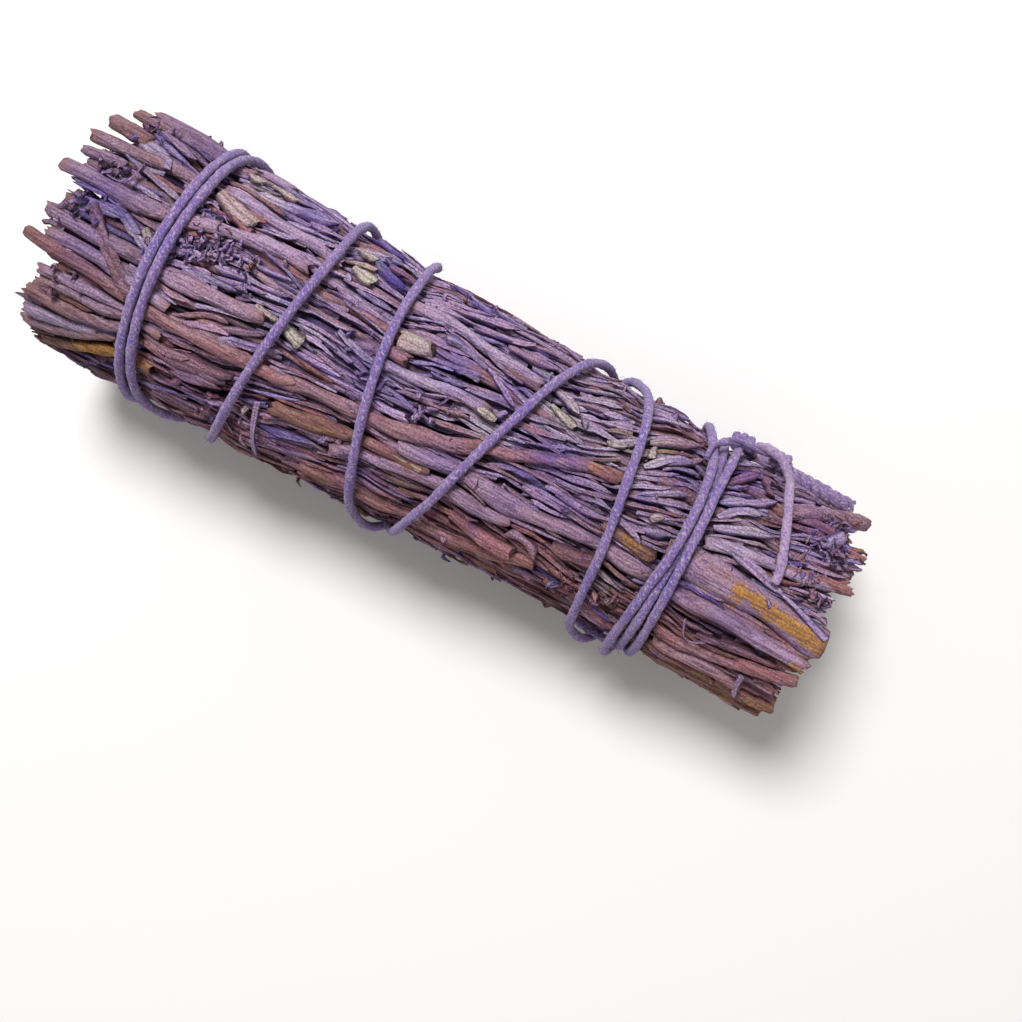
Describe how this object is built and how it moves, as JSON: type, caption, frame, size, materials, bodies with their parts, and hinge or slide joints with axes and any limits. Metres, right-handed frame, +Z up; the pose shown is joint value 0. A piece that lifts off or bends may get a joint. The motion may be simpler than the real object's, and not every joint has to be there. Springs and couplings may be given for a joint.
{
  "type": "sage smudge stick",
  "caption": "Dried, purple-dyed sage sprigs laid in a round bundle, cut square at both ends and bound with one cotton string.",
  "frame": {"origin": "on the surface that the bundle lies on, under the middle of its length and width", "axes": "+X along the bundle from its wide end to its narrow end, +Z up, +Y across it to the side where the string is knotted"},
  "size_m": [0.102, 0.0341, 0.0337],
  "materials": {
    "leafy_sprig": "dry, matt, dyed mauve over grey-green",
    "buried_sprig": "dry, rough, brown-mauve stems",
    "cotton_string": "matt, softly twisted and felted, violet"
  },
  "bodies": {
    "root": {"outer_sprig_01": "leafy_sprig", "outer_sprig_02": "leafy_sprig", "outer_sprig_03": "leafy_sprig", "outer_sprig_04": "leafy_sprig", "outer_sprig_05": "leafy_sprig", "outer_sprig_06": "leafy_sprig", "outer_sprig_07": "leafy_sprig", "outer_sprig_08": "leafy_sprig", "outer_sprig_09": "leafy_sprig", "outer_sprig_10": "leafy_sprig", "outer_sprig_11": "leafy_sprig", "outer_sprig_12": "leafy_sprig", "outer_sprig_13": "leafy_sprig", "outer_sprig_14": "leafy_sprig", "outer_sprig_15": "leafy_sprig", "outer_sprig_16": "leafy_sprig", "outer_sprig_17": "leafy_sprig", "outer_sprig_18": "leafy_sprig", "outer_sprig_19": "leafy_sprig", "outer_sprig_20": "leafy_sprig", "outer_sprig_21": "leafy_sprig", "outer_sprig_22": "leafy_sprig", "outer_sprig_23": "leafy_sprig", "outer_sprig_24": "leafy_sprig", "middle_sprig_01": "buried_sprig", "middle_sprig_02": "buried_sprig", "middle_sprig_03": "buried_sprig", "middle_sprig_04": "buried_sprig", "middle_sprig_05": "buried_sprig", "middle_sprig_06": "buried_sprig", "middle_sprig_07": "buried_sprig", "middle_sprig_08": "buried_sprig", "middle_sprig_09": "buried_sprig", "middle_sprig_10": "buried_sprig", "middle_sprig_11": "buried_sprig", "middle_sprig_12": "buried_sprig", "inner_sprig_01": "buried_sprig", "inner_sprig_02": "buried_sprig", "inner_sprig_03": "buried_sprig", "inner_sprig_04": "buried_sprig", "inner_sprig_05": "buried_sprig", "inner_sprig_06": "buried_sprig", "centre_stem": "buried_sprig", "binding_string": "cotton_string"}
  },
  "joints": []
}
